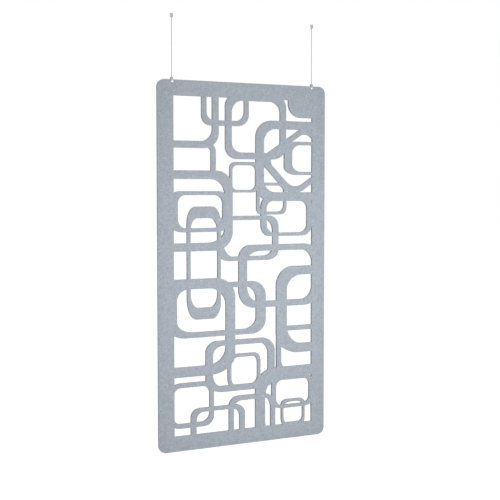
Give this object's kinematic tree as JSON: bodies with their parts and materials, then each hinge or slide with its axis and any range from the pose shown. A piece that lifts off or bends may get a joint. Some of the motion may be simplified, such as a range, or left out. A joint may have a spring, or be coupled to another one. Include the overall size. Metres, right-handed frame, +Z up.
{
  "type": "hanging room divider panel",
  "caption": "Stiff felt screen cut as a lattice of overlapping rounded rings, hung from the ceiling on short steel cables with clevis clamps.",
  "frame": {"origin": "on the ceiling plane, midway between the two ceiling fixings, in the panel's middle plane", "axes": "+X along the panel's width to the right seen from the front, -Y towards the viewer of the front face, +Z up"},
  "size_m": [0.6, 0.013, 1.408],
  "materials": {
    "felt": "pressed grey felt board, fine mottled grain, matt",
    "nickel": "satin nickel plate",
    "wire_rope": "stranded steel wire rope",
    "bright_head": "bright plate, near white"
  },
  "bodies": {
    "ceiling": {"ceiling_base_left": "nickel", "ceiling_cap_left": "nickel", "ceiling_base_right": "nickel", "ceiling_cap_right": "nickel"},
    "upper_stops": {"upper_stop_left": "nickel", "upper_stop_right": "nickel"},
    "cable_left": {"cable_left": "wire_rope"},
    "cable_right": {"cable_right": "wire_rope", "lower_stop_right": "nickel"},
    "lower_stop_left": {"lower_stop_left": "nickel"},
    "panel": {"panel": "felt", "clevis_left": "nickel", "post_barrel_left": "bright_head", "post_screw_left": "nickel", "clevis_right": "nickel", "post_barrel_right": "bright_head", "post_screw_right": "nickel"}
  },
  "joints": [
    {"name": "swing", "type": "hinge", "parent": "ceiling", "child": "upper_stops", "pos_m": [0, 0, -0.00894], "axis": [1, 0, 0], "range_deg": [-15, 15]},
    {"name": "sway", "type": "hinge", "parent": "upper_stops", "child": "cable_left", "pos_m": [-0.25, 0, -0.00894], "axis": [0, 1, 0], "range_deg": [-10, 10]},
    {"name": "sway_right_cable", "type": "hinge", "parent": "upper_stops", "child": "cable_right", "pos_m": [0.25, 0, -0.00894], "axis": [0, 1, 0], "range_deg": [-10, 10]},
    {"name": "sway_level", "type": "hinge", "parent": "cable_left", "child": "lower_stop_left", "pos_m": [-0.25, 0, -0.20328], "axis": [0, 1, 0], "range_deg": [-10, 10]},
    {"name": "tilt", "type": "hinge", "parent": "lower_stop_left", "child": "panel", "pos_m": [-0.25, 0, -0.20328], "axis": [1, 0, 0], "range_deg": [-15, 15]}
  ],
  "couplings": [
    {"joint": "sway_right_cable", "follows": "sway", "ratio": 1},
    {"joint": "sway_level", "follows": "sway", "ratio": -1}
  ]
}
